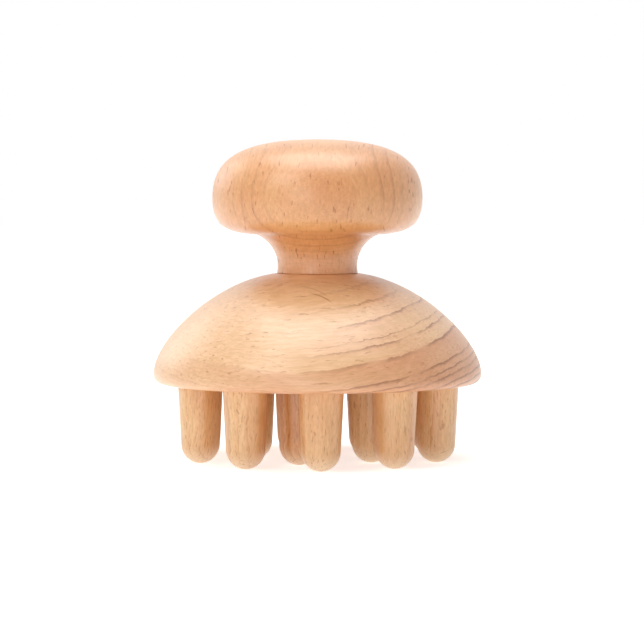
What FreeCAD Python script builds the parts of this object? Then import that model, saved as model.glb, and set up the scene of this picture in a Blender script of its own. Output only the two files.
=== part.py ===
import FreeCAD, Part
import math
import os

# A scalp massager in turned beech. A mushroom handle is dowelled onto a domed head, and
# sixteen round-ended pegs are glued into the head's flat underside. Nothing on it moves.
# Millimetres, +Z up. The pegs stand with their tips on z = 0, and x = y = 0 is the axis
# that the handle and the head are turned about.

# Head
HEAD_RADIUS = 48.0            # at its widest, just above the rounded rim
HEAD_THICKNESS = 32.0         # flat underside to the seat of the handle
RIM_ROUND = 2.6               # radius between the head's side and its underside
CROWN_SLOPE = 7.0             # degrees that the head falls where the handle's foot ends
CROWN_FULLNESS = 0.51         # how far the flat crown reaches out, as a share of its span
SHOULDER_FULLNESS = 0.33      # how far the upright side reaches up, as a share of its rise
SEAT_MARGIN = 0.2             # flat seat left showing round the handle's foot

# Handle: knob and neck, one turning
KNOB_RADIUS = 30.7            # at its widest
KNOB_CROWN_RISE = 17.0        # widest place to the top
KNOB_UNDERCUT = 10.7          # widest place down to the lip where the neck begins
CROWN_ROUND_OUT = 0.70        # how far the knob's flat top reaches out
CROWN_ROUND_UP = 0.70         # how far the knob's upright side reaches up
LIP_ROUND_DOWN = 0.80         # how far the upright side reaches down, a share of the undercut
LIP_RUN = 8.3                 # length of the flat stretch under the knob
LIP_SLOPE = 3.2               # degrees that this stretch falls towards the neck
LIP_RADIUS = 18.0             # where the knob's underside meets the hollow of the neck
NECK_RADIUS = 11.65           # at its narrowest
NECK_HEIGHT = 11.3            # foot to the lip
WAIST_HEIGHT = 2.1            # foot to the narrowest place
FOOT_ROUND = 0.4              # broken edge of the foot, which shows as the joint line

# Dowel between handle and head
DOWEL_RADIUS = 5.0            # of the drilled holes
DOWEL_IN_HEAD = 15.0
DOWEL_IN_HANDLE = 24.0
DOWEL_CHAMFER = 1.0
FLUTE_COUNT = 12
FLUTE_RADIUS = 0.6            # of the glue grooves along the dowel
FLUTE_DEPTH = 0.35

# Pegs
PEG_REACH = 22.5              # underside of the head to the tip
PEG_ROOT_RADIUS = 6.45        # where the peg leaves the head, and along its shank
PEG_TIP_RADIUS = 5.6          # of the round end
PEG_SHANK = 8.0               # depth of the glued shank
OUTER_PEGS = 10
RIM_LAND = 3.0                # flat of the underside outside the outer ring's holes
FIRST_PEG_ANGLE = 1.7         # degrees from -Y towards +X
INNER_RING_TURN = 1.5         # steps of the outer ring from its first peg to the first inner one

# Fits
GLUE_CLEARANCE = 0.05         # all round a glued shank or dowel
END_GAP = 0.8                 # left for glue at the bottom of a blind hole

# Heights
UNDERSIDE_Z = PEG_REACH
SEAT_Z = UNDERSIDE_Z + HEAD_THICKNESS
LIP_Z = SEAT_Z + NECK_HEIGHT
KNOB_WIDEST_Z = LIP_Z + KNOB_UNDERCUT

# The hollow of the neck is one arc, upright at the waist and passing through the lip.
COVE_DEPTH = LIP_RADIUS - NECK_RADIUS
COVE_RISE = NECK_HEIGHT - WAIST_HEIGHT
COVE_RADIUS = (COVE_DEPTH ** 2 + COVE_RISE ** 2) / (2 * COVE_DEPTH)
DROP_TO_FOOT = WAIST_HEIGHT - FOOT_ROUND
FOOT_RADIUS = NECK_RADIUS + COVE_RADIUS - math.sqrt(COVE_RADIUS ** 2 - DROP_TO_FOOT ** 2)

# An inner peg stands as far from the axis as from its two neighbours in the outer ring.
PEG_HOLE_RADIUS = PEG_ROOT_RADIUS + GLUE_CLEARANCE
PEG_STEP = 360.0 / OUTER_PEGS
OUTER_RING_RADIUS = HEAD_RADIUS - RIM_ROUND - RIM_LAND - PEG_HOLE_RADIUS
INNER_RING_RADIUS = OUTER_RING_RADIUS / (2 * math.cos(math.radians(PEG_STEP / 2)))

AXIS_Z = FreeCAD.Vector(0, 0, 1)
ORIGIN = FreeCAD.Vector(0, 0, 0)


def point(radius, z):
    """A point of a turned outline, in the XZ plane."""
    return FreeCAD.Vector(radius, 0, z)


def line(start, end):
    return Part.makeLine(start, end)


def curve(*poles):
    """A smooth edge that leaves its first pole and meets its last along the other two."""
    bezier = Part.BezierCurve()
    bezier.setPoles(list(poles))
    return bezier.toShape()


def arc(start, middle, end):
    return Part.Arc(start, middle, end).toShape()


def round_edge(centre, radius, from_degrees, to_degrees):
    """An arc of a turned outline about a centre, its angles counted from the radial way."""
    ends = []
    for degrees in (from_degrees, (from_degrees + to_degrees) / 2, to_degrees):
        angle = math.radians(degrees)
        ends.append(centre + point(radius * math.cos(angle), radius * math.sin(angle)))
    return arc(*ends)


def turned(edges):
    """The solid that a closed half outline makes when it is turned about the axis."""
    outline = Part.Wire(edges)
    return Part.Face(outline).revolve(ORIGIN, AXIS_Z, 360)


def drilled(radius, start_z, end_z, centre=ORIGIN):
    """A round plug of wood to cut away, between two heights."""
    base = FreeCAD.Vector(centre.x, centre.y, start_z)
    return Part.makeCylinder(radius, end_z - start_z, base, AXIS_Z)


def ring_place(radius, degrees):
    """A place in plan, its angle counted from -Y towards +X."""
    angle = math.radians(degrees)
    return FreeCAD.Vector(radius * math.sin(angle), -radius * math.cos(angle), 0)


def peg_places():
    """Each peg's name and its place in plan: two rings and one peg on the axis."""
    places = {}
    for index in range(OUTER_PEGS):
        degrees = FIRST_PEG_ANGLE + index * PEG_STEP
        places[f"peg_outer_{index + 1:02d}"] = ring_place(OUTER_RING_RADIUS, degrees)
    for index in range(OUTER_PEGS // 2):
        degrees = FIRST_PEG_ANGLE + (INNER_RING_TURN + 2 * index) * PEG_STEP
        places[f"peg_inner_{index + 1:02d}"] = ring_place(INNER_RING_RADIUS, degrees)
    places["peg_centre"] = ORIGIN
    return places


def dome_head():
    """The domed head, with a blind hole for each peg and one above for the dowel."""
    seat_radius = FOOT_RADIUS + SEAT_MARGIN
    widest_z = UNDERSIDE_Z + RIM_ROUND
    slope = math.radians(CROWN_SLOPE)
    run = CROWN_FULLNESS * (HEAD_RADIUS - seat_radius)
    rise = SHOULDER_FULLNESS * (SEAT_Z - widest_z)
    seat_edge = point(seat_radius, SEAT_Z)
    widest = point(HEAD_RADIUS, widest_z)
    flat_edge = point(HEAD_RADIUS - RIM_ROUND, UNDERSIDE_Z)
    dome = turned([
        line(point(0, SEAT_Z), seat_edge),
        curve(seat_edge, seat_edge + point(run * math.cos(slope), -run * math.sin(slope)),
              widest + point(0, rise), widest),
        round_edge(point(HEAD_RADIUS - RIM_ROUND, widest_z), RIM_ROUND, 0, -90),
        line(flat_edge, point(0, UNDERSIDE_Z)),
        line(point(0, UNDERSIDE_Z), point(0, SEAT_Z)),
    ])
    hole_top = UNDERSIDE_Z + PEG_SHANK + END_GAP
    holes = [drilled(PEG_HOLE_RADIUS, UNDERSIDE_Z, hole_top, place)
             for place in peg_places().values()]
    holes.append(drilled(DOWEL_RADIUS, SEAT_Z - DOWEL_IN_HEAD - END_GAP, SEAT_Z))
    return dome.cut(holes)


def handle():
    """The knob and its neck, bored from below for the dowel."""
    crown = point(0, KNOB_WIDEST_Z + KNOB_CROWN_RISE)
    widest = point(KNOB_RADIUS, KNOB_WIDEST_Z)
    lip = point(LIP_RADIUS, LIP_Z)
    slope = math.radians(LIP_SLOPE)
    waist = point(NECK_RADIUS, SEAT_Z + WAIST_HEIGHT)
    foot_centre = point(FOOT_RADIUS - FOOT_ROUND, SEAT_Z + FOOT_ROUND)
    turning = turned([
        curve(crown, crown + point(CROWN_ROUND_OUT * KNOB_RADIUS, 0),
              widest + point(0, CROWN_ROUND_UP * KNOB_CROWN_RISE), widest),
        curve(widest, widest - point(0, LIP_ROUND_DOWN * KNOB_UNDERCUT),
              lip + point(LIP_RUN * math.cos(slope), LIP_RUN * math.sin(slope)), lip),
        arc(lip, waist, point(FOOT_RADIUS, SEAT_Z + FOOT_ROUND)),
        round_edge(foot_centre, FOOT_ROUND, 0, -90),
        line(point(FOOT_RADIUS - FOOT_ROUND, SEAT_Z), point(0, SEAT_Z)),
        line(point(0, SEAT_Z), crown),
    ])
    return turning.cut(drilled(DOWEL_RADIUS, SEAT_Z, SEAT_Z + DOWEL_IN_HANDLE + END_GAP))


def handle_dowel():
    """The fluted dowel that carries the handle, with its long grain across the joint."""
    radius = DOWEL_RADIUS - GLUE_CLEARANCE
    bottom = SEAT_Z - DOWEL_IN_HEAD
    top = SEAT_Z + DOWEL_IN_HANDLE
    end_radius = radius - DOWEL_CHAMFER
    plain = turned([
        line(point(0, bottom), point(end_radius, bottom)),
        line(point(end_radius, bottom), point(radius, bottom + DOWEL_CHAMFER)),
        line(point(radius, bottom + DOWEL_CHAMFER), point(radius, top - DOWEL_CHAMFER)),
        line(point(radius, top - DOWEL_CHAMFER), point(end_radius, top)),
        line(point(end_radius, top), point(0, top)),
        line(point(0, top), point(0, bottom)),
    ])
    flute_ring = radius + FLUTE_RADIUS - FLUTE_DEPTH
    flutes = [drilled(FLUTE_RADIUS, bottom, top, ring_place(flute_ring, index * 360 / FLUTE_COUNT))
              for index in range(FLUTE_COUNT)]
    return plain.cut(flutes)


def peg():
    """One peg on the axis: a round end, a gentle taper and a straight shank."""
    root = point(PEG_ROOT_RADIUS, UNDERSIDE_Z)
    shank_top = UNDERSIDE_Z + PEG_SHANK
    end_centre = point(0, PEG_TIP_RADIUS)
    # The taper is the line from the root that just touches the round end.
    to_root = root - end_centre
    tangent_angle = math.degrees(math.atan2(to_root.z, to_root.x)
                                 - math.acos(PEG_TIP_RADIUS / to_root.Length))
    end = round_edge(end_centre, PEG_TIP_RADIUS, -90, tangent_angle)
    return turned([
        end,
        line(end.Vertexes[-1].Point, root),
        line(root, point(PEG_ROOT_RADIUS, shank_top)),
        line(point(PEG_ROOT_RADIUS, shank_top), point(0, shank_top)),
        line(point(0, shank_top), ORIGIN),
    ])


def build():
    """Every node's name and its solid."""
    solids = {"dome_head": dome_head(), "handle": handle(), "handle_dowel": handle_dowel()}
    pattern = peg()
    for name, place in peg_places().items():
        solids[name] = pattern.translated(place)
    return solids


os.makedirs("parts", exist_ok=True)
for node, solid in build().items():
    solid.exportStep(f"parts/{node}.step")
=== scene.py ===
import math

import bpy
from mathutils import Matrix, Vector


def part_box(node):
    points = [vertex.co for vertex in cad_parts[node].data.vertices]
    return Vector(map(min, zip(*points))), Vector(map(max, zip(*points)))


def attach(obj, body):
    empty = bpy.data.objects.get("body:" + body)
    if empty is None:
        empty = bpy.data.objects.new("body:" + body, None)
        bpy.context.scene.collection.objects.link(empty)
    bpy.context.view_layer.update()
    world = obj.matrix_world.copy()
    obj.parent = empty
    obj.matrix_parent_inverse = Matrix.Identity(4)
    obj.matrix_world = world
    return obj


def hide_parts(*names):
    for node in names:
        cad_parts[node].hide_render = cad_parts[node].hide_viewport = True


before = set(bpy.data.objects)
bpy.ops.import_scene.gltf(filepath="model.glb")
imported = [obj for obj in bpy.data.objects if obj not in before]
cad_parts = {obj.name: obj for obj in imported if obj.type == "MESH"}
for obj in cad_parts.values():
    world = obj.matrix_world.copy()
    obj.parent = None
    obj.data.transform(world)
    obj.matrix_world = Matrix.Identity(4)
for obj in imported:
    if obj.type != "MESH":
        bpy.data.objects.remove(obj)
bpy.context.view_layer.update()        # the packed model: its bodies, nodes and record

# A scalp massager in turned beech: a mushroom handle on a domed head, with round-ended pegs
# glued into the head's flat underside. The outlines, the drilled holes and the pegs' places
# follow the solids of the frame. Lengths are metres, and grain sizes are millimetres.

bl_info = {
    "name": "Turned beech scalp massager",
    "version": (1, 0, 0),
    "blender": (4, 5, 0),
    "location": "3D View > Sidebar > Massager",
    "description": "Turns, drills, pegs and finishes a wooden scalp massager",
    "category": "Object",
}

MM = 0.001
CLEAR = 0.8 * MM             # a hole runs this much deeper than what it holds
PAST = 1.0 * MM              # the dowel's drills start this far outside the wood
SLACK = 0.05 * MM            # and cut this much wider, all round, than the dowel
PEG_LOG_RADIUS = 70.0        # how far out in the log the pegs' blanks were cut, in millimetres
PEG_NODES = sorted(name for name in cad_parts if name.startswith("peg_"))
HEAD_LOW, HEAD_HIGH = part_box("dome_head")
HANDLE_LOW, HANDLE_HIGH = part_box("handle")
DOWEL_LOW, DOWEL_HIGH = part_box("handle_dowel")
PEG_LOW, PEG_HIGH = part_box("peg_centre")


def radius_of(low, high):
    """The radius of a round piece, from its box."""
    return max(high.x - low.x, high.y - low.y) / 2


def srgb(hex_colour):
    """A colour written as sRGB hex, turned to the linear values that nodes take."""
    channels = [int(hex_colour[i:i + 2], 16) / 255 for i in (1, 3, 5)]
    linear = [c / 12.92 if c <= 0.04045 else ((c + 0.055) / 1.055) ** 2.4 for c in channels]
    return (*linear, 1.0)


# ---------------------------------------------------------------- settings

def length(name, description, default):
    """A length in metres that a user may set."""
    return bpy.props.FloatProperty(
        name=name, description=description, default=default, min=0.0, unit="LENGTH",
        subtype="DISTANCE", precision=5)


def share(name, description, default):
    """A plain factor between nothing and all."""
    return bpy.props.FloatProperty(
        name=name, description=description, default=default, min=0.0, max=1.0, subtype="FACTOR")


def tint(name, description, default):
    """A colour, given in sRGB hex."""
    return bpy.props.FloatVectorProperty(
        name=name, description=description, default=srgb(default), size=4, min=0.0, max=1.0,
        subtype="COLOR")


def angle(name, description, degrees):
    """An angle, given in degrees."""
    return bpy.props.FloatProperty(
        name=name, description=description, default=math.radians(degrees), unit="ROTATION",
        subtype="ANGLE")


def power(name, description, default):
    """A lamp's power in watts."""
    return bpy.props.FloatProperty(
        name=name, description=description, default=default, min=0.0, unit="POWER")


class HeadSettings(bpy.types.PropertyGroup):
    """Sizes of the domed head."""
    radius: length("Radius", "Widest radius, just above the rim", radius_of(HEAD_LOW, HEAD_HIGH))
    rim_round: length("Rim round", "Radius between the side and the underside", 2.6 * MM)
    seat: length("Seat radius", "Flat on top that the handle stands on", 12.1 * MM)
    slope: angle("Crown slope", "Fall of the crown where the handle's foot ends", 7.0)
    crown: share("Crown fullness", "How far the flat crown reaches out", 0.51)
    shoulder: share("Shoulder fullness", "How far the upright side reaches up", 0.33)
    hole: length("Peg hole", "Radius of the holes for the pegs", 6.5 * MM)
    hole_break: length("Hole edge", "Width of the broken edge at each hole's mouth", 0.35 * MM)


class HandleSettings(bpy.types.PropertyGroup):
    """Sizes of the knob and neck."""
    knob: length("Knob radius", "Widest radius of the knob", radius_of(HANDLE_LOW, HANDLE_HIGH))
    crown_rise: length("Crown rise", "Widest place of the knob to its top", 17.0 * MM)
    crown_out: share("Crown reach out", "How far the flat top reaches out", 0.70)
    crown_up: share("Crown reach up", "How far the upright side reaches up", 0.70)
    undercut: length("Undercut", "Widest place of the knob down to the lip", 10.7 * MM)
    undercut_down: share("Undercut reach", "How far the upright side reaches down", 0.80)
    lip: length("Lip radius", "Where the underside of the knob meets the neck", 18.0 * MM)
    lip_run: length("Lip run", "Length of the flat stretch under the knob", 8.3 * MM)
    lip_slope: angle("Lip slope", "Fall of that stretch towards the neck", 3.2)
    neck: length("Neck radius", "Narrowest radius of the neck", 11.65 * MM)
    waist: length("Waist height", "Foot to the narrowest place", 2.1 * MM)
    foot_round: length("Foot round", "Broken edge of the foot, seen as the joint line", 0.18 * MM)


class PegSettings(bpy.types.PropertyGroup):
    """Sizes of the pegs and how evenly they were set."""
    root: length("Root radius", "Radius where the peg leaves the head",
                 radius_of(PEG_LOW, PEG_HIGH))
    tip: length("Tip radius", "Radius of the round end", 5.6 * MM)
    lean: angle("Lean", "Most that a peg leans out of true", 0.25)
    seed: bpy.props.IntProperty(name="Seed", description="Picks how each peg is set", default=4)
    tone_seed: bpy.props.IntProperty(
        name="Tone seed", description="Picks how warm each peg's wood is", default=1184)


class TurningSettings(bpy.types.PropertyGroup):
    """How finely the turned pieces are made."""
    segments: bpy.props.IntProperty(
        name="Segments", description="Facets round the head and the handle", default=256, min=24)
    peg_segments: bpy.props.IntProperty(
        name="Peg segments", description="Facets round a peg", default=56, min=12)
    ripple: length("Ripple", "Height left between hollows of the sanding", 0.05 * MM)
    ripple_size: length("Ripple size", "Width of one hollow of the sanding", 7.0 * MM)


class WoodSettings(bpy.types.PropertyGroup):
    """Colours of the beech, as it looks sanded and oiled, and a painted light for the pegs' round
    ends.
    """
    head_pale: tint("Head, pale", "Early growth of the head's wood", "#F4C597")
    head_warm: tint("Head, warm", "Pinker growth of the head's wood", "#DE9F72")
    handle_pale: tint("Handle, pale", "Early growth of the handle's wood", "#EDB077")
    handle_warm: tint("Handle, warm", "Pinker growth of the handle's wood", "#DF955C")
    peg_pale: tint("Pegs, pale", "Early growth of the pegs' wood", "#F8D29E")
    peg_warm: tint("Pegs, warm", "Pinker growth of the pegs' wood", "#DE9C5E")
    # Painted light: this pale colour on the pegs' round ends stands in for the light and reflection
    # that the tips get from the white floor below.
    peg_tip_painted_light: tint("Pegs, end", "End grain at the round ends, buffed pale", "#FAE3C2")
    line: tint("Ring line", "Thin late growth that ends a year", "#8A490C")
    fleck: tint("Fleck", "Short dark ends of the rays", "#A65C10")


class StageSettings(bpy.types.PropertyGroup):
    """The floor, the lamps and the camera."""
    floor: tint("Floor", "Colour of the floor", "#F4F2EF")
    distance: length("Camera distance", "Camera to the massager's axis, along the floor", 0.818)
    height: length("Camera height", "Camera above the floor", 0.0822)
    aim_height: length("Aim height", "Height that the camera looks at", 0.0403)
    aside: length("Aside", "How far right of the axis the camera stands and looks", 0.00134)
    lens: bpy.props.FloatProperty(
        name="Lens", description="Focal length", default=156.5, unit="CAMERA")
    overhead: power("Overhead lamp", "Power of the softbox above", 4.65)
    front_left: power("Front left lamp", "Power of the softbox at the front left", 2.0)
    low_front: power("Low front lamp", "Power of the low fill beside the camera", 1.10)
    back_left: power("Back left lamp", "Power of the softbox at the back left", 0.95)
    ambient: share("Ambient", "Strength of the light from all round", 0.15)


SETTINGS = {
    "massager_head": HeadSettings,
    "massager_handle": HandleSettings,
    "massager_pegs": PegSettings,
    "massager_turning": TurningSettings,
    "massager_wood": WoodSettings,
    "massager_stage": StageSettings,
}


# ---------------------------------------------------------------- nodes

MATH = "ShaderNodeMath"


def add(tree, kind, inputs=(), output=0, **settings):
    """Adds a node with its settings and links, and returns the output that is asked for.

    Inputs are numbers, colours or other nodes' outputs, given in order or by name.
    """
    node = tree.nodes.new(kind)
    for name, value in settings.items():
        setattr(node, name, value)
    for key, value in inputs.items() if isinstance(inputs, dict) else enumerate(inputs):
        if isinstance(value, bpy.types.NodeSocket):
            tree.links.new(value, node.inputs[key])
        else:
            node.inputs[key].default_value = value
    return node.outputs[output] if node.outputs else None


def new_tree(name, kind, inputs, outputs):
    """An empty node tree with named sockets: each is (name, socket kind, default or None)."""
    tree = bpy.data.node_groups.new(name, kind)
    for in_out, sockets in (("INPUT", inputs), ("OUTPUT", outputs)):
        for socket_name, socket_kind, default in sockets:
            socket = tree.interface.new_socket(socket_name, in_out=in_out, socket_type=socket_kind)
            if default is not None:
                socket.default_value = default
    return tree


def run_tree(source, tree, values, name):
    """Runs a geometry tree on an object, and returns the result as a plain mesh object."""
    modifier = source.modifiers.new(tree.name, "NODES")
    modifier.node_group = tree
    for socket in tree.interface.items_tree:
        if socket.in_out == "INPUT" and socket.name in values:
            modifier[socket.identifier] = values[socket.name]
    bpy.context.view_layer.update()
    evaluated = source.evaluated_get(bpy.context.evaluated_depsgraph_get())
    mesh = bpy.data.meshes.new_from_object(evaluated)
    mesh.name = name
    bpy.data.objects.remove(source)
    piece = bpy.data.objects.new(name, mesh)
    bpy.context.scene.collection.objects.link(piece)
    return piece


def points_object(name, points, joined=False):
    """An object that holds only points, joined in a chain if they are an outline."""
    edges = [(i, i + 1) for i in range(len(points) - 1)] if joined else []
    mesh = bpy.data.meshes.new(name)
    mesh.from_pydata([tuple(p) for p in points], edges, [])
    holder = bpy.data.objects.new(name, mesh)
    bpy.context.scene.collection.objects.link(holder)
    return holder


def turning_tree():
    """Turns an outline about Z. Its points run from the axis, round the outside, to the axis."""
    tree = new_tree("Turning", "GeometryNodeTree", [
        ("Outline", "NodeSocketGeometry", None),
        ("Segments", "NodeSocketInt", 64),
        ("Ripple", "NodeSocketFloat", 0.0),
        ("Ripple size", "NodeSocketFloat", 7.0 * MM),
        ("Seed", "NodeSocketInt", 1),
        ("Finish", "NodeSocketMaterial", None),
    ], [("Turning", "NodeSocketGeometry", None)])
    given = add(tree, "NodeGroupInput").node.outputs
    row_count = add(tree, "GeometryNodeAttributeDomainSize", {"Geometry": given["Outline"]},
                    "Point Count")
    column_count = add(tree, MATH, [given["Segments"], 1], operation="ADD")
    grid = add(tree, "GeometryNodeMeshGrid", {"Vertices X": column_count, "Vertices Y": row_count},
               "Mesh")
    index = add(tree, "GeometryNodeInputIndex")
    row = add(tree, MATH, [index, row_count], operation="MODULO")
    column = add(tree, MATH, [index, row_count], operation="DIVIDE")
    column = add(tree, MATH, [column], operation="FLOOR")
    place = add(tree, "GeometryNodeInputPosition")
    point = add(tree, "GeometryNodeSampleIndex",
                {"Geometry": given["Outline"], "Value": place, "Index": row},
                data_type="FLOAT_VECTOR")
    radius, _, height = add(tree, "ShaderNodeSeparateXYZ", [point]).node.outputs
    turn = add(tree, MATH, [column, given["Segments"]], operation="DIVIDE")
    turn = add(tree, MATH, [turn, math.tau], operation="MULTIPLY")
    right = add(tree, MATH, [turn], operation="COSINE")
    back = add(tree, MATH, [turn], operation="SINE")
    right = add(tree, MATH, [radius, right], operation="MULTIPLY")
    back = add(tree, MATH, [radius, back], operation="MULTIPLY")
    turned = add(tree, "ShaderNodeCombineXYZ", [right, back, height])
    shell = add(tree, "GeometryNodeSetPosition", {"Geometry": grid, "Position": turned})
    closed = add(tree, "GeometryNodeMergeByDistance", {"Geometry": shell, "Distance": 0.002 * MM})
    # Sanding leaves faint hollows: each point goes in along its normal by up to the ripple.
    closeness = add(tree, MATH, [1.0, given["Ripple size"]], operation="DIVIDE")
    waves = add(tree, "ShaderNodeTexNoise",
                {"Vector": place, "W": given["Seed"], "Scale": closeness, "Detail": 1.0},
                noise_dimensions="4D")
    depth = add(tree, MATH, [waves, 1.0], operation="SUBTRACT")
    depth = add(tree, MATH, [depth, given["Ripple"]], operation="MULTIPLY")
    normal = add(tree, "GeometryNodeInputNormal")
    inwards = add(tree, "ShaderNodeVectorMath", {0: normal, "Scale": depth}, operation="SCALE")
    sanded = add(tree, "GeometryNodeSetPosition", {"Geometry": closed, "Offset": inwards})
    smooth = add(tree, "GeometryNodeSetShadeSmooth", {"Geometry": sanded})
    real = add(tree, "GeometryNodeRealizeInstances", {"Geometry": smooth})
    finished = add(tree, "GeometryNodeSetMaterial", {"Geometry": real, "Material": given["Finish"]})
    add(tree, "NodeGroupOutput", [finished])
    return tree


def peg_set_tree():
    """Sets a peg at each given point, turned and leaning at random, with its own grain."""
    tree = new_tree("Peg set", "GeometryNodeTree", [
        ("Places", "NodeSocketGeometry", None),
        ("Peg", "NodeSocketObject", None),
        ("Lean", "NodeSocketFloat", 0.0),
        ("Log radius", "NodeSocketFloat", PEG_LOG_RADIUS),
        ("Seed", "NodeSocketInt", 1),
        ("Tone seed", "NodeSocketInt", 1),
        ("Finish", "NodeSocketMaterial", None),
    ], [("Pegs", "NodeSocketGeometry", None)])
    given = add(tree, "NodeGroupInput").node.outputs
    peg = add(tree, "GeometryNodeObjectInfo", {"Object": given["Peg"]}, "Geometry")
    back = add(tree, MATH, [given["Lean"], -1.0], operation="MULTIPLY")
    # For each peg: its lean both ways, its turn, and where in the log its blank was cut from.
    ranges = ((back, given["Lean"]), (back, given["Lean"]), (0.0, math.tau), (0.0, math.tau),
              (0.0, 200.0))
    chances = []
    for step, (low, high) in enumerate(ranges, 1):
        seed = add(tree, MATH, [given["Seed"], step], operation="ADD")
        chances.append(add(tree, "FunctionNodeRandomValue", {2: low, 3: high, "Seed": seed}, 1,
                           data_type="FLOAT"))
    lean_x, lean_y, turn, around, along = chances
    tone = add(tree, "FunctionNodeRandomValue", {"Seed": given["Tone seed"]}, 1, data_type="FLOAT")
    rotation = add(tree, "ShaderNodeCombineXYZ", [lean_x, lean_y, turn])
    pegs = add(tree, "GeometryNodeInstanceOnPoints", {
        "Points": given["Places"], "Instance": peg, "Rotation": rotation})
    right = add(tree, MATH, [around], operation="COSINE")
    up = add(tree, MATH, [around], operation="SINE")
    right = add(tree, MATH, [right, given["Log radius"]], operation="MULTIPLY")
    up = add(tree, MATH, [up, given["Log radius"]], operation="MULTIPLY")
    blank = add(tree, "ShaderNodeCombineXYZ", [right, up, along])
    pegs = add(tree, "GeometryNodeStoreNamedAttribute",
               {"Geometry": pegs, "Name": "log_place", "Value": blank},
               data_type="FLOAT_VECTOR", domain="INSTANCE")
    pegs = add(tree, "GeometryNodeStoreNamedAttribute",
               {"Geometry": pegs, "Name": "wood_tone", "Value": tone},
               data_type="FLOAT", domain="INSTANCE")
    real = add(tree, "GeometryNodeRealizeInstances", {"Geometry": pegs})
    finished = add(tree, "GeometryNodeSetMaterial", {"Geometry": real, "Material": given["Finish"]})
    add(tree, "NodeGroupOutput", [finished])
    return tree


# ---------------------------------------------------------------- wood

SMOOTH = {"interpolation_type": "SMOOTHSTEP"}

# What all the beech shares. Sizes are millimetres. A range is two levels of a noise pattern,
# between which what it does grows from nothing to all.
RING_WAVERS = (((17.0, 17.0, 17.0), 1.0), ((3.2, 3.2, 3.2), 0.45), ((0.8, 0.8, 1.6), 0.30))
HAZE_SIZE, HAZE_RANGE = (12.0, 12.0, 12.0), (0.34, 0.60)
RAY_PATCH_SIZE, RAY_PATCH_REACH = (8.0, 8.0, 8.0), 0.06
CLOUD_SIZE, CLOUD_RANGE, CLOUD_TONES = (22.0, 22.0, 22.0), (0.3, 0.7), (-0.15, 0.35)
FIBRE_RANGE, CROSS_RANGE, SHEEN_RANGE = (0.22, 0.78), (0.3, 0.7), (0.2, 0.8)
LINE_FULL = 0.965            # share of the year at which the line that ends it is darkest
YEAR_CLOSES = 0.975          # share of the year from which that line fades out again
PEG_TONES = (-0.60, 0.50)    # palest and warmest that a peg's own wood may be
RED_KEPT, BLUE_KEPT = 0.7, 1.7    # powers of a fibre's shade for its red and its blue
SATIN = (0.40, 0.46)         # roughness of the oiled wood, at its least and its most
MARK_ROUGH = 0.12            # how much rougher the lines and flecks are
FIBRE_RISE, MARK_SINK = 0.35, -0.3    # how far fibres stand up and marks lie down
STREAK_DEPTH, STREAK_FULL = 9.0, 6.0    # how deep a streak reaches, and how deep it is full


def grain_lumps(tree, place, size, detail=2.0, roughness=0.5):
    """Lumps of about the given sizes in millimetres along the wood's own three ways."""
    squeezed = add(tree, "ShaderNodeVectorMath", [place, size], operation="DIVIDE")
    return add(tree, "ShaderNodeTexNoise", {
        "Vector": squeezed, "Scale": 1.0, "Detail": detail, "Roughness": roughness})


def waver(tree, place, size, reach):
    """A push of up to about the reach, either way. A small one has no finer detail."""
    lumps = grain_lumps(tree, place, size, 1.0 if reach < 0.2 else 2.0)
    return add(tree, MATH, [lumps, 2.0 * reach, -reach], operation="MULTIPLY_ADD")


def year_count(tree, distance, ends):
    """Counts the years outwards. ends are the distances at which each year's growth stops."""
    count = 0.0
    for start, end in zip(ends, ends[1:]):
        year = add(tree, "ShaderNodeMapRange", [distance, start, end])
        count = add(tree, MATH, [count, year], operation="ADD")
    return count


def even_years(tree, distance, spacing):
    """Counts years of about one width, some wider and some narrower."""
    even = add(tree, MATH, [distance, spacing], operation="DIVIDE")
    uneven = add(tree, "ShaderNodeTexNoise", {"W": even, "Scale": 0.55, "Detail": 0.0},
                 noise_dimensions="1D")
    return add(tree, MATH, [uneven, 1.6, even], operation="MULTIPLY_ADD")


def streak(tree, place, centre, heading, long, wide):
    """A thin dark line in the wood that fades out at both ends, in millimetres on the piece."""
    turned = add(tree, "ShaderNodeMapping", {
        "Vector": place, "Location": Vector(centre) * MM, "Rotation": (0.0, 0.0, heading),
        "Scale": (MM, MM, MM)}, vector_type="TEXTURE")
    along, across, up = add(tree, "ShaderNodeSeparateXYZ", [turned]).node.outputs
    # It bends a little, so its middle stands off the straight line between its ends.
    bend = add(tree, MATH, [along, 2.0], operation="POWER")
    across = add(tree, MATH, [bend, 0.25 / long, across], operation="MULTIPLY_ADD")
    mask = 1.0
    for way, out, full in ((along, 0.5 * long, 0.2 * long), (across, wide, 0.3 * wide),
                           (up, STREAK_DEPTH, STREAK_FULL)):
        way = add(tree, MATH, [way], operation="ABSOLUTE")
        inside = add(tree, "ShaderNodeMapRange", [way, out, full], **SMOOTH)
        mask = add(tree, MATH, [mask, inside], operation="MULTIPLY")
    return mask


def log_rotation(grain, out):
    """The turn that takes the grain's direction to Z and the direction away from the pith to Y."""
    along = Vector(grain).normalized()
    away = Vector(out)
    away = (away - along * away.dot(along)).normalized()
    rows = Matrix((away.cross(along), away, along))
    return rows.to_euler()


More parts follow.
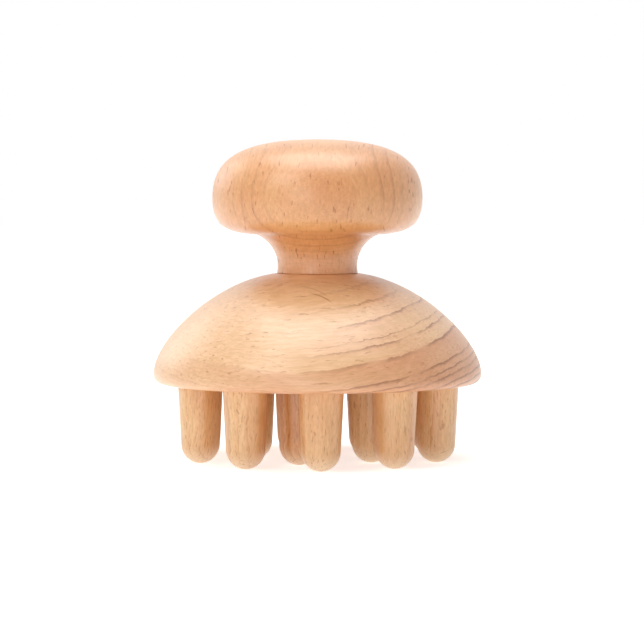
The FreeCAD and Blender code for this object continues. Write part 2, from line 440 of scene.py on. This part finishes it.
def beech(name, colours, grain, out, pith, look, per_peg=False):
    """Turned beech: a piece cut from the log, sanded smooth and wiped with clear oil.

    grain and out are directions on the piece, and pith is a point of the log's middle, in
    millimetres. The eye gets a low satin sheen and the grain of a solid piece of wood, the
    same through and through, so it meets up on every side.
    """
    pale, warm, line_colour, fleck_colour = colours
    material = bpy.data.materials.new(name)
    material.use_nodes = True
    tree = material.node_tree
    tree.nodes.clear()
    on_piece = add(tree, "ShaderNodeTexCoord", output="Object")
    rotation = log_rotation(grain, out)
    offset = -(rotation.to_matrix() @ Vector(pith))
    place = add(tree, "ShaderNodeMapping", {
        "Vector": on_piece, "Location": offset, "Rotation": rotation,
        "Scale": (1 / MM, 1 / MM, 1 / MM)})
    if per_peg:
        own = add(tree, "ShaderNodeAttribute", output="Vector", attribute_name="log_place")
        place = add(tree, "ShaderNodeVectorMath", [place, own], operation="ADD")
    across, rise, along = add(tree, "ShaderNodeSeparateXYZ", [place]).node.outputs

    # Distance from the pith. Rings may be squashed, and flatten out above the pith.
    rise = add(tree, MATH, [rise, look["squash"]], operation="MULTIPLY")
    if look["flatten"]:
        above = add(tree, MATH, [rise, 0.0], operation="MAXIMUM")
        below = add(tree, MATH, [rise, 0.0], operation="MINIMUM")
        above = add(tree, MATH, [above, look["flatten"]], operation="DIVIDE")
        above = add(tree, MATH, [above], operation="TANH")
        rise = add(tree, MATH, [above, look["flatten"], below], operation="MULTIPLY_ADD")
    powers = 0.0
    for way in (across, rise):
        way = add(tree, MATH, [way], operation="ABSOLUTE")
        way = add(tree, MATH, [way, look["corner"]], operation="POWER")
        powers = add(tree, MATH, [powers, way], operation="ADD")
    distance = add(tree, MATH, [powers, 1.0 / look["corner"]], operation="POWER")
    # A slow waver, and the small crinkle that beech rings have where rays cross them.
    for size, part in RING_WAVERS:
        push = waver(tree, place, size, part * look["waver"])
        distance = add(tree, MATH, [distance, push], operation="ADD")

    # How far through its year the wood is, and how the year's growth took its colour.
    if "ends" in look:
        count = year_count(tree, distance, look["ends"])
    else:
        count = even_years(tree, distance, look["spacing"])
    share_of_year = add(tree, MATH, [count], operation="FRACT")
    year = add(tree, MATH, [count], operation="FLOOR")
    year = add(tree, MATH, [year, look["year_seed"]], operation="ADD")
    year_tone = add(tree, "ShaderNodeTexWhiteNoise", {"W": year}, noise_dimensions="1D")
    # The rings are clear in some places and hazy in others.
    clear = grain_lumps(tree, place, HAZE_SIZE)
    clear = add(tree, "ShaderNodeMapRange", [clear, *HAZE_RANGE, look["faintest"], 1.0], **SMOOTH)
    for way, (start, end, least) in ((along, look["clear_along"]),
                                     (distance, look["clear_beyond"]),
                                     (distance, look["clear_within"])):
        here = add(tree, "ShaderNodeMapRange", [way, start, end, least, 1.0], **SMOOTH)
        clear = add(tree, MATH, [clear, here], operation="MULTIPLY")
    late = add(tree, MATH, [share_of_year, look["late_power"]], operation="POWER")
    late = add(tree, MATH, [late, clear], operation="MULTIPLY")
    # Narrow years near the pith give more of their width to the line, so it stays as thick.
    narrow_to, wide_from, narrow_line_from = look["narrow_years"]
    line_from = add(tree, "ShaderNodeMapRange", [
        distance, narrow_to, wide_from, narrow_line_from, look["line_from"]])
    line = add(tree, "ShaderNodeMapRange", [share_of_year, line_from, LINE_FULL], **SMOOTH)
    year_end = add(tree, "ShaderNodeMapRange", [share_of_year, YEAR_CLOSES, 1.0, 1.0, 0.0],
                   **SMOOTH)
    for share_left in (year_end, clear, look["line"]):
        line = add(tree, MATH, [line, share_left], operation="MULTIPLY")

    # Ray ends: short dark dashes, in patches.
    turn = add(tree, MATH, [rise, across], operation="ARCTAN2")
    around = add(tree, MATH, [turn, look["pith_distance"]], operation="MULTIPLY")
    ray_place = add(tree, "ShaderNodeCombineXYZ", [distance, around, along])
    ray_way = place if look["upright_rays"] else ray_place
    ray = grain_lumps(tree, ray_way, look["fleck_size"], 1.0)
    patch = waver(tree, place, RAY_PATCH_SIZE, RAY_PATCH_REACH)
    ray = add(tree, MATH, [ray, patch], operation="ADD")
    ray = add(tree, MATH, [share_of_year, look["fleck_late"], ray], operation="MULTIPLY_ADD")
    fleck = add(tree, "ShaderNodeMapRange", [
        ray, look["fleck_from"], look["fleck_from"] + look["fleck_edge"]], **SMOOTH)
    fleck = add(tree, MATH, [fleck, look["fleck"]], operation="MULTIPLY")

    # Fibres and pores are too fine to see one by one, so they are drawn as coarse as can show.
    fibre = grain_lumps(tree, ray_place, look["fibre_size"], 3.0, 0.6)
    cross = grain_lumps(tree, ray_way, look["cross_size"], 1.0)
    cloud = grain_lumps(tree, place, CLOUD_SIZE)

    # The tone runs from the pale colour to the warm one.
    tone = add(tree, MATH, [late, look["late"]], operation="MULTIPLY")
    tone = add(tree, MATH, [year_tone, look["year_tone"], tone], operation="MULTIPLY_ADD")
    start, end, warmth = look["warm_within"]
    inner_warmth = add(tree, "ShaderNodeMapRange", [distance, start, end, warmth, 0.0], **SMOOTH)
    start, end = look["warm_inner_along"]
    inner_share = add(tree, "ShaderNodeMapRange", [along, start, end, 0.0, 1.0], **SMOOTH)
    tone = add(tree, MATH, [inner_warmth, inner_share, tone], operation="MULTIPLY_ADD")
    for way, (start, end, low, high) in ((cloud, (*CLOUD_RANGE, *CLOUD_TONES)),
                                         (along, look["warm_along"])):
        here = add(tree, "ShaderNodeMapRange", [way, start, end, low, high], **SMOOTH)
        tone = add(tree, MATH, [tone, here], operation="ADD")
    if per_peg:
        own_tone = add(tree, "ShaderNodeAttribute", output="Fac", attribute_name="wood_tone")
        own_tone = add(tree, "ShaderNodeMapRange", [own_tone, 0.0, 1.0, *PEG_TONES])
        tone = add(tree, MATH, [tone, own_tone], operation="ADD")
    colour = add(tree, "ShaderNodeMix", {0: tone, 6: pale, 7: warm}, 2, data_type="RGBA")
    fibre_shade = add(tree, "ShaderNodeMapRange",
                      [fibre, *FIBRE_RANGE, look["fibre_dark"], 1.04], **SMOOTH)
    cross_shade = add(tree, "ShaderNodeMapRange",
                      [cross, *CROSS_RANGE, look["cross_dark"], 1.02], **SMOOTH)
    shade = add(tree, MATH, [fibre_shade, cross_shade], operation="MULTIPLY")
    # Dark fibres are browner too: they keep more of their red and less of their blue.
    red_share = add(tree, MATH, [shade, RED_KEPT], operation="POWER")
    blue_share = add(tree, MATH, [shade, BLUE_KEPT], operation="POWER")
    shade = add(tree, "ShaderNodeCombineXYZ", [red_share, shade, blue_share])
    colour = add(tree, "ShaderNodeVectorMath", [colour, shade], operation="MULTIPLY")
    # Painted light: towards their lowest point the pieces are mixed towards a pale colour, standing
    # in for the light and reflection from the floor below. Only the pegs use it.
    height = add(tree, "ShaderNodeSeparateXYZ", [on_piece], "Z")
    high, low, tip_light_colour, tip_light_share = look["painted_tip_light"]
    end = add(tree, "ShaderNodeMapRange", [height, high * MM, low * MM, 0.0, tip_light_share], **SMOOTH)
    layers = [(end, tip_light_colour), (line, line_colour), (fleck, fleck_colour)]
    for centre, heading, long, wide, dark in look["streaks"]:
        mark = streak(tree, on_piece, centre, heading, long, wide)
        mark = add(tree, MATH, [mark, dark], operation="MULTIPLY")
        layers.append((mark, fleck_colour))
    for amount, over in layers:
        colour = add(tree, "ShaderNodeMix", {0: amount, 6: colour, 7: over}, 2, data_type="RGBA")

    marks = add(tree, MATH, [line, fleck], operation="ADD")
    rough = add(tree, "ShaderNodeMapRange", [fibre, *SHEEN_RANGE, *SATIN], **SMOOTH)
    rough = add(tree, MATH, [marks, MARK_ROUGH, rough], operation="MULTIPLY_ADD")
    relief = add(tree, MATH, [fibre, FIBRE_RISE], operation="MULTIPLY")
    relief = add(tree, MATH, [marks, MARK_SINK, relief], operation="MULTIPLY_ADD")
    bump = add(tree, "ShaderNodeBump", {"Strength": 0.4, "Distance": 0.10 * MM, "Height": relief})
    shader = add(tree, "ShaderNodeBsdfPrincipled", {
        "Base Color": colour, "Roughness": rough, "IOR": 1.5, "Specular IOR Level": 0.2,
        "Normal": bump, "Coat Weight": 0.92, "Coat Roughness": 0.37, "Coat IOR": 1.8})
    add(tree, "ShaderNodeOutputMaterial", {"Surface": shader})
    return material


NOWHERE = (-900.0, -800.0)    # a stretch outside every piece, for what plain beech lacks

# Plain beech. Stretches are millimetres out from the pith or along the grain.
PLAIN_GRAIN = {
    # The rings: their form, squarer with a corner above 2, their late growth and the line that
    # ends a year. Along a clear stretch their strength goes from the last number to all.
    "squash": 1.0, "flatten": 0.0, "corner": 2.0, "waver": 1.0, "faintest": 0.15,
    "late": 0.5, "late_power": 2.0, "year_tone": 0.4, "year_seed": 0.5,
    "line": 0.6, "line_from": 0.84, "narrow_years": (*NOWHERE, 0.84),
    "clear_along": (*NOWHERE, 1.0), "clear_beyond": (*NOWHERE, 1.0),
    "clear_within": (*NOWHERE, 1.0),
    # The tone, which a warm stretch takes from one level to another, and painted light at a low
    # end: a pale colour for the floor's light and reflection there.
    "warm_along": (*NOWHERE, 0.0, 0.0), "warm_within": (*NOWHERE, 0.0),
    "warm_inner_along": NOWHERE, "painted_tip_light": (*NOWHERE, srgb("#FFFFFF"), 0.0),
    # Flecks, streaks and fibres. Sizes are out from the pith, round it and along the grain.
    "pith_distance": PEG_LOG_RADIUS, "upright_rays": False, "streaks": (),
    "fleck": 0.6, "fleck_from": 0.66, "fleck_edge": 0.07, "fleck_late": 0.0,
    "fleck_size": (1.6, 0.4, 3.2), "fibre_size": (0.8, 0.35, 5.0), "fibre_dark": 0.90,
    "cross_size": (1.6, 0.35, 1.5), "cross_dark": 0.96,
}


def beech_head(wood):
    """Flat-sawn beech: the years lie near level, dip to the front, and show best at the right."""
    pith_depth = 187.1
    year_heights = (12.8, 16.8, 20.4, 22.3, 24.3, 26.4, 28.6, 30.3, 32.4, 37.8, 41.0, 42.5, 46.1,
                    49.8, 53.0, 57.2)
    colours = (wood.head_pale, wood.head_warm, wood.line, wood.fleck)
    return beech("turned_beech_head", colours, grain=(1.0, 0.0, 0.067), out=(-0.067, -0.07, 1.0),
                 pith=(0.0, 16.0, -pith_depth), look={
                     **PLAIN_GRAIN, "ends": [pith_depth + height for height in year_heights],
                     "waver": 0.9, "line": 0.85, "line_from": 0.81, "late": 0.9,
                     "late_power": 4.0, "year_tone": 0.12, "clear_along": (6.0, 38.0, 0.10),
                     "clear_within": (pith_depth + 54.0, pith_depth + 40.0, 0.45),
                     "warm_along": (-28.0, 62.0, -0.38, 0.02),
                     "narrow_years": (pith_depth + 33.0, pith_depth + 35.0, 0.55),
                     "pith_distance": 225.0,
                     "warm_within": (pith_depth + 36.6, pith_depth + 38.6, 0.80),
                     "warm_inner_along": (-36.0, 4.0),
                     "fleck": 0.50, "fleck_from": 0.64, "fleck_edge": 0.10,
                     "fleck_size": (0.45, 1.1, 6.5), "fibre_size": (0.5, 1.0, 6.0),
                     "fibre_dark": 0.84, "cross_size": (0.45, 2.5, 9.0), "cross_dark": 0.90,
                     "streaks": (((1.3, -28.2, 48.0), -0.58, 9.0, 0.40, 0.62),
                                 ((-0.8, -24.6, 50.0), -0.62, 13.0, 0.45, 0.30))})


def beech_handle(wood):
    """End grain at the front: flat oval rings in the knob's middle, upright ones round them."""
    colours = (wood.handle_pale, wood.handle_warm, wood.line, wood.fleck)
    return beech("turned_beech_handle", colours, grain=(0.03, 1.0, 0.02), out=(0.0, 0.0, 1.0),
                 pith=(0.8, 0.0, 77.4), look={
                     **PLAIN_GRAIN, "ends": (0.0, 4.6, 8.4, 11.3, 15.2, 18.8, 21.8, 24.3, 27.6,
                                             31.0, 34.6, 38.0, 42.0, 46.0),
                     "squash": 1.5, "flatten": 14.0, "corner": 2.5, "waver": 0.7,
                     "line": 0.30, "line_from": 0.68, "faintest": 0.20, "late": 0.30,
                     "clear_beyond": (11.0, 20.0, 0.10), "clear_within": (27.0, 20.0, 0.15),
                     "warm_within": (2.0, 11.0, 0.28), "year_tone": 0.25, "pith_distance": 14.0,
                     "fleck": 0.72, "fleck_from": 0.675, "fleck_late": 0.05, "fleck_edge": 0.10,
                     "fleck_size": (0.62, 2.6, 8.0), "upright_rays": True,
                     "fibre_size": (0.42, 1.7, 8.0), "fibre_dark": 0.83,
                     "cross_size": (0.7, 1.6, 4.0), "cross_dark": 0.88})


def beech_peg(wood):
    """Pegs with upright grain, each from its own place in the log."""
    colours = (wood.peg_pale, wood.peg_warm, wood.line, wood.fleck)
    return beech("turned_beech_peg", colours, grain=(0.0, 0.0, 1.0), out=(0.0, 1.0, 0.0),
                 pith=(0.0, 0.0, 0.0), look={
                     **PLAIN_GRAIN, "spacing": 3.4, "line": 0.16, "late": 0.4,
                     "fleck": 0.50, "fleck_from": 0.61, "fleck_edge": 0.10,
                     "fleck_size": (0.8, 0.34, 2.6), "fibre_size": (0.6, 0.38, 5.5),
                     "fibre_dark": 0.80, "cross_size": (0.9, 0.45, 1.6), "cross_dark": 0.92,
                     # Painted light: from 6 mm down to the round end the peg grows paler, for the
                     # floor's light and reflection on its tip.
                     "painted_tip_light": (6.0, 0.5, wood.peg_tip_painted_light, 0.65)}, per_peg=True)


def beech_dowel(wood):
    """Machined dowel rod, left unsanded, with its grain upright."""
    colours = (wood.peg_pale, wood.peg_warm, wood.line, wood.fleck)
    return beech("machined_beech_dowel", colours, grain=(0.0, 0.0, 1.0), out=(0.0, 1.0, 0.0),
                 pith=(30.0, 20.0, 0.0), look={**PLAIN_GRAIN, "spacing": 2.5,
                                               "pith_distance": 36.0})


# ---------------------------------------------------------------- outlines

def at(radius, height):
    """A point of a turned outline."""
    return Vector((radius, 0.0, height))


def curve(start, leave, arrive, end, count):
    """Points along a smooth curve after its start, to its end."""
    points = []
    for step in range(1, count + 1):
        t = step / count
        points.append(start * (1 - t) ** 3 + leave * (3 * t * (1 - t) ** 2)
                      + arrive * (3 * t * t * (1 - t)) + end * t ** 3)
    return points


def arc(centre, radius, from_angle, to_angle, count):
    """Points along a round stretch after its start, angles counted from the radial way."""
    points = []
    for step in range(1, count + 1):
        turn = from_angle + (to_angle - from_angle) * step / count
        points.append(centre + at(radius * math.cos(turn), radius * math.sin(turn)))
    return points


def straight(start, end, count):
    """Points along a straight stretch after its start, to its end."""
    return [start.lerp(end, step / count) for step in range(1, count + 1)]


def head_outline(head):
    """The head, from the middle of its underside round the rim to the middle of its seat."""
    underside, seat = HEAD_LOW.z, HEAD_HIGH.z
    rim_centre = at(head.radius - head.rim_round, underside + head.rim_round)
    widest = at(head.radius, rim_centre.z)
    seat_edge = at(head.seat, seat)
    run = head.crown * (head.radius - head.seat)
    rise = head.shoulder * (seat - widest.z)
    points = [at(0.0, underside)]
    points += straight(points[-1], at(rim_centre.x, underside), 12)
    points += arc(rim_centre, head.rim_round, -math.pi / 2, 0.0, 10)
    points += curve(widest, widest + at(0.0, rise),
                    seat_edge + at(run * math.cos(head.slope), -run * math.sin(head.slope)),
                    seat_edge, 90)
    points += straight(seat_edge, at(0.0, seat), 6)
    return points


def handle_outline(handle):
    """The handle, from the middle of its foot up the hollow and round the knob to its top."""
    foot = HANDLE_LOW.z
    widest = at(handle.knob, HANDLE_HIGH.z - handle.crown_rise)
    lip = at(handle.lip, widest.z - handle.undercut)
    waist = at(handle.neck, foot + handle.waist)
    deep, tall = lip.x - waist.x, lip.z - waist.z
    hollow = (deep ** 2 + tall ** 2) / (2 * deep)
    hollow_centre = at(waist.x + hollow, waist.z)
    low_turn = math.pi + math.asin((handle.waist - handle.foot_round) / hollow)
    high_turn = math.pi - math.asin(tall / hollow)
    foot_side = hollow_centre + at(hollow * math.cos(low_turn), hollow * math.sin(low_turn))
    points = [at(0.0, foot)]
    points += straight(points[-1], at(foot_side.x - handle.foot_round, foot), 6)
    points += arc(at(foot_side.x - handle.foot_round, foot_side.z), handle.foot_round,
                  -math.pi / 2, 0.0, 5)
    points += arc(hollow_centre, hollow, low_turn, high_turn, 34)
    points += curve(points[-1],
                    lip + at(handle.lip_run * math.cos(handle.lip_slope),
                             handle.lip_run * math.sin(handle.lip_slope)),
                    widest - at(0.0, handle.undercut_down * handle.undercut), widest, 34)
    crown = at(0.0, HANDLE_HIGH.z)
    points += curve(widest, widest + at(0.0, handle.crown_up * handle.crown_rise),
                    crown + at(handle.crown_out * handle.knob, 0.0), crown, 60)
    return points


def peg_outline(pegs):
    """A peg with its root at the origin: round end below, straight shank above."""
    root_height, top = HEAD_LOW.z, PEG_HIGH.z
    centre = at(0.0, pegs.tip - root_height)
    root = at(pegs.root, 0.0)
    to_root = root - centre
    # The taper is the line from the root that just touches the round end.
    touch = math.atan2(to_root.z, to_root.x) - math.acos(pegs.tip / to_root.length)
    points = [at(0.0, -root_height)]
    points += arc(centre, pegs.tip, -math.pi / 2, touch, 14)
    points += straight(points[-1], root, 12)
    points += straight(root, at(pegs.root, top - root_height), 2)
    points += straight(points[-1], at(0.0, top - root_height), 2)
    return points


def plug_outline(radius, low, high, edge):
    """A drill's shape, from low to high, with a broken edge at the end where it enters."""
    if edge == 0.0:
        return [at(0.0, low), at(radius, low), at(radius, high), at(0.0, high)]
    # The cone that breaks the edge starts half a millimetre outside the wood.
    mouth = edge + 0.5 * MM
    return [at(0.0, low - mouth), at(radius + mouth, low - mouth),
            at(radius + mouth, low - mouth + edge), at(radius, low + edge),
            at(radius, high), at(0.0, high)]


# ---------------------------------------------------------------- making

SHARP_ANGLE = math.radians(32)    # faces that meet at more than this keep a crisp edge


def turn_piece(name, outline, segments, material, ripple=0.0, ripple_size=7.0 * MM, seed=1):
    """Turns an outline into a closed mesh object. The seed moves the hollows of the sanding."""
    tree = bpy.data.node_groups.get("Turning") or turning_tree()
    values = {"Segments": segments, "Ripple": ripple, "Ripple size": ripple_size, "Seed": seed,
              "Finish": material}
    return run_tree(points_object(name + "_outline", outline, joined=True), tree, values, name)


def drill(piece, plugs):
    """Cuts plugs out of a piece, and puts the plugs away."""
    for plug in plugs:
        cut = piece.modifiers.new("drill", "BOOLEAN")
        cut.operation = "DIFFERENCE"
        cut.solver = "EXACT"
        cut.object = plug
    bpy.context.view_layer.update()
    evaluated = piece.evaluated_get(bpy.context.evaluated_depsgraph_get())
    drilled = bpy.data.meshes.new_from_object(evaluated)
    drilled.name = piece.data.name
    piece.modifiers.clear()
    piece.data = drilled
    for plug in plugs:
        bpy.data.objects.remove(plug)


def finish_piece(piece, slot, *nodes):
    """Shades the faces as one where they meet at a low angle, and stands in for the solids."""
    piece.data.shade_smooth()
    piece.data.set_sharp_from_angle(angle=SHARP_ANGLE)
    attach(piece, "root")
    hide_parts(*nodes)


def middle(node):
    """A node's middle in plan."""
    low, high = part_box(node)
    return Vector(((low.x + high.x) / 2, (low.y + high.y) / 2, 0.0))


class MASSAGER_OT_head(bpy.types.Operator):
    """Turn the domed head and drill its holes"""
    bl_idname = "massager.head"
    bl_label = "Domed head"

    def execute(self, context):
        scene = context.scene
        head, turning = scene.massager_head, scene.massager_turning
        piece = turn_piece("domed_head", head_outline(head), turning.segments,
                           beech_head(scene.massager_wood), turning.ripple, turning.ripple_size,
                           seed=3)
        hole_top = PEG_HIGH.z + CLEAR
        plugs = []
        for node in PEG_NODES:
            plug = turn_piece("plug_" + node,
                              plug_outline(head.hole, HEAD_LOW.z, hole_top, head.hole_break),
                              turning.peg_segments, None)
            plug.data.transform(Matrix.Translation(middle(node)))
            plugs.append(plug)
        bore = plug_outline(radius_of(DOWEL_LOW, DOWEL_HIGH) + SLACK, DOWEL_LOW.z - CLEAR,
                            HEAD_HIGH.z + PAST, 0.0)
        plugs.append(turn_piece("plug_dowel", bore, turning.peg_segments, None))
        drill(piece, plugs)
        finish_piece(piece, "beech_head", "dome_head")
        return {"FINISHED"}


class MASSAGER_OT_handle(bpy.types.Operator):
    """Turn the handle, knob and neck in one"""
    bl_idname = "massager.handle"
    bl_label = "Handle"

    def execute(self, context):
        scene = context.scene
        turning = scene.massager_turning
        piece = turn_piece("mushroom_handle", handle_outline(scene.massager_handle),
                           turning.segments, beech_handle(scene.massager_wood), turning.ripple,
                           turning.ripple_size, seed=8)
        bore = plug_outline(radius_of(DOWEL_LOW, DOWEL_HIGH) + SLACK, HANDLE_LOW.z - PAST,
                            DOWEL_HIGH.z + CLEAR, 0.0)
        drill(piece, [turn_piece("plug_bore", bore, turning.peg_segments, None)])
        finish_piece(piece, "beech_handle", "handle")
        return {"FINISHED"}


class MASSAGER_OT_pegs(bpy.types.Operator):
    """Turn a peg and set one in each hole"""
    bl_idname = "massager.pegs"
    bl_label = "Pegs"

    def execute(self, context):
        scene = context.scene
        pegs, turning = scene.massager_pegs, scene.massager_turning
        pattern = turn_piece("peg_pattern", peg_outline(pegs), turning.peg_segments, None)
        root = Vector((0.0, 0.0, HEAD_LOW.z))
        places = points_object("peg_places", [middle(node) + root for node in PEG_NODES])
        piece = run_tree(places, peg_set_tree(), {
            "Peg": pattern, "Lean": pegs.lean, "Seed": pegs.seed, "Tone seed": pegs.tone_seed,
            "Finish": beech_peg(scene.massager_wood)}, "round_ended_pegs")
        bpy.data.objects.remove(pattern)
        finish_piece(piece, "beech_peg", *PEG_NODES)
        return {"FINISHED"}


class MASSAGER_OT_dowel(bpy.types.Operator):
    """Give the hidden dowel its wood"""
    bl_idname = "massager.dowel"
    bl_label = "Dowel"

    def execute(self, context):
        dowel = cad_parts["handle_dowel"]
        material = beech_dowel(context.scene.massager_wood)
        for slot in dowel.material_slots:
            slot.material = material
        return {"FINISHED"}


# ---------------------------------------------------------------- stage

WHITE = (1.0, 1.0, 1.0, 1.0)
FLOOR_HALF = 4.0                  # half of the floor's side, in metres
LAMP_TARGET = (0.0, 0.0, 0.05)    # the massager's middle, where all the lamps point
SHADE_EDGES = (0.12, 0.55)        # how far out, in metres, the floor starts and ends paling
FLOOR_GLOWS = (0.66, 1.0)         # how bright it shows by the massager and far out
FLOOR_LIGHT = 0.32                # how much light it throws on the massager


def seen_rays(tree):
    """One for the rays that show a thing to the camera, straight or by mirror or glass."""
    paths = add(tree, "ShaderNodeLightPath").node.outputs
    seen = 0.0
    for path in ("Is Camera Ray", "Is Glossy Ray", "Is Transmission Ray"):
        seen = add(tree, MATH, [seen, paths[path]], operation="MAXIMUM")
    return seen


def floor_paint(colour):
    """Opal board, lit a little from below. Camera and mirror rays see it as plain white.

    Round the massager it shows less light of its own, so the shadow stays in view.
    """
    material = bpy.data.materials.new("lit_opal_board")
    material.use_nodes = True
    tree = material.node_tree
    tree.nodes.clear()
    matt = add(tree, "ShaderNodeBsdfDiffuse", {"Color": colour})
    place = add(tree, "ShaderNodeTexCoord", output="Object")
    away = add(tree, "ShaderNodeVectorMath", [place], "Value", operation="LENGTH")
    white = add(tree, "ShaderNodeMapRange", [away, *SHADE_EDGES, *FLOOR_GLOWS], **SMOOTH)
    own_light = add(tree, "ShaderNodeMapRange", {
        "Value": seen_rays(tree), "To Min": FLOOR_LIGHT, "To Max": white})
    glow = add(tree, "ShaderNodeEmission", {"Color": WHITE, "Strength": own_light})
    both = add(tree, "ShaderNodeAddShader", [matt, glow])
    add(tree, "ShaderNodeOutputMaterial", {"Surface": both})
    return material


def white_room(ambient):
    """Even light from all round, which the camera and mirrors see as plain white."""
    world = bpy.data.worlds.new("white_room")
    world.use_nodes = True
    tree = world.node_tree
    tree.nodes.clear()
    strength = add(tree, "ShaderNodeMapRange", {
        "Value": seen_rays(tree), "To Min": ambient, "To Max": 1.0})
    sky = add(tree, "ShaderNodeBackground", {"Color": WHITE, "Strength": strength})
    add(tree, "ShaderNodeOutputWorld", {"Surface": sky})
    return world


def lamp(name, place, size, watts):
    """A square soft lamp that points at the massager's middle. Place and size are metres."""
    light = bpy.data.lights.new(name, "AREA")
    light.size = size
    light.energy = watts
    holder = bpy.data.objects.new(name, light)
    holder.location = place
    aim = Vector(LAMP_TARGET) - Vector(place)
    holder.rotation_euler = aim.to_track_quat("-Z", "Y").to_euler()
    bpy.context.scene.collection.objects.link(holder)


class MASSAGER_OT_stage(bpy.types.Operator):
    """Lay the floor, hang the lamps and place the camera"""
    bl_idname = "massager.stage"
    bl_label = "Stage"

    def execute(self, context):
        scene = context.scene
        stage = scene.massager_stage
        mesh = bpy.data.meshes.new("floor")
        corners = [(x * FLOOR_HALF, y * FLOOR_HALF, 0.0)
                   for x, y in ((-1, -1), (1, -1), (1, 1), (-1, 1))]
        mesh.from_pydata(corners, [], [(0, 1, 2, 3)])
        mesh.materials.append(floor_paint(stage.floor))
        floor = bpy.data.objects.new("floor", mesh)
        scene.collection.objects.link(floor)
        scene.world = white_room(stage.ambient)
        lamp("overhead_softbox", (-0.01, 0.0, 0.75), size=0.70, watts=stage.overhead)
        lamp("front_left_softbox", (-0.50, -0.58, 0.62), size=0.50, watts=stage.front_left)
        lamp("low_front_fill", (-0.28, -0.95, 0.18), size=0.40, watts=stage.low_front)
        lamp("back_left_softbox", (-0.60, 0.50, 0.40), size=0.50, watts=stage.back_left)

        camera = bpy.data.objects.new("camera", bpy.data.cameras.new("camera"))
        camera.data.lens = stage.lens
        camera.data.sensor_width = 36.0
        camera.location = (stage.aside, -stage.distance, stage.height)
        aim = Vector((stage.aside, 0.0, stage.aim_height))
        camera.rotation_euler = (aim - camera.location).to_track_quat("-Z", "Y").to_euler()
        camera.data.clip_start = 0.01
        scene.collection.objects.link(camera)
        scene.camera = camera
        scene.view_settings.view_transform = "Standard"
        return {"FINISHED"}


# ---------------------------------------------------------------- add-on

OPERATORS = (MASSAGER_OT_stage, MASSAGER_OT_head, MASSAGER_OT_handle, MASSAGER_OT_pegs,
             MASSAGER_OT_dowel)


class MASSAGER_PT_panel(bpy.types.Panel):
    """Settings of the massager, and a button for each piece"""
    bl_idname = "MASSAGER_PT_panel"
    bl_label = "Scalp massager"
    bl_space_type = "VIEW_3D"
    bl_region_type = "UI"
    bl_category = "Massager"

    def draw(self, context):
        for operator in OPERATORS:
            self.layout.operator(operator.bl_idname)
        for name, group in SETTINGS.items():
            box = self.layout.box()
            box.label(text=group.__doc__)
            for setting in group.__annotations__:
                box.prop(getattr(context.scene, name), setting)


CLASSES = (*SETTINGS.values(), *OPERATORS, MASSAGER_PT_panel)


def register():
    for cls in CLASSES:
        bpy.utils.register_class(cls)
    for name, group in SETTINGS.items():
        setattr(bpy.types.Scene, name, bpy.props.PointerProperty(type=group))


def unregister():
    for name in SETTINGS:
        delattr(bpy.types.Scene, name)
    for cls in reversed(CLASSES):
        bpy.utils.unregister_class(cls)


def main():
    register()
    bpy.ops.massager.stage()
    bpy.ops.massager.head()
    bpy.ops.massager.handle()
    bpy.ops.massager.pegs()
    bpy.ops.massager.dowel()
    bpy.context.view_layer.update()


if __name__ == "__main__":
    main()
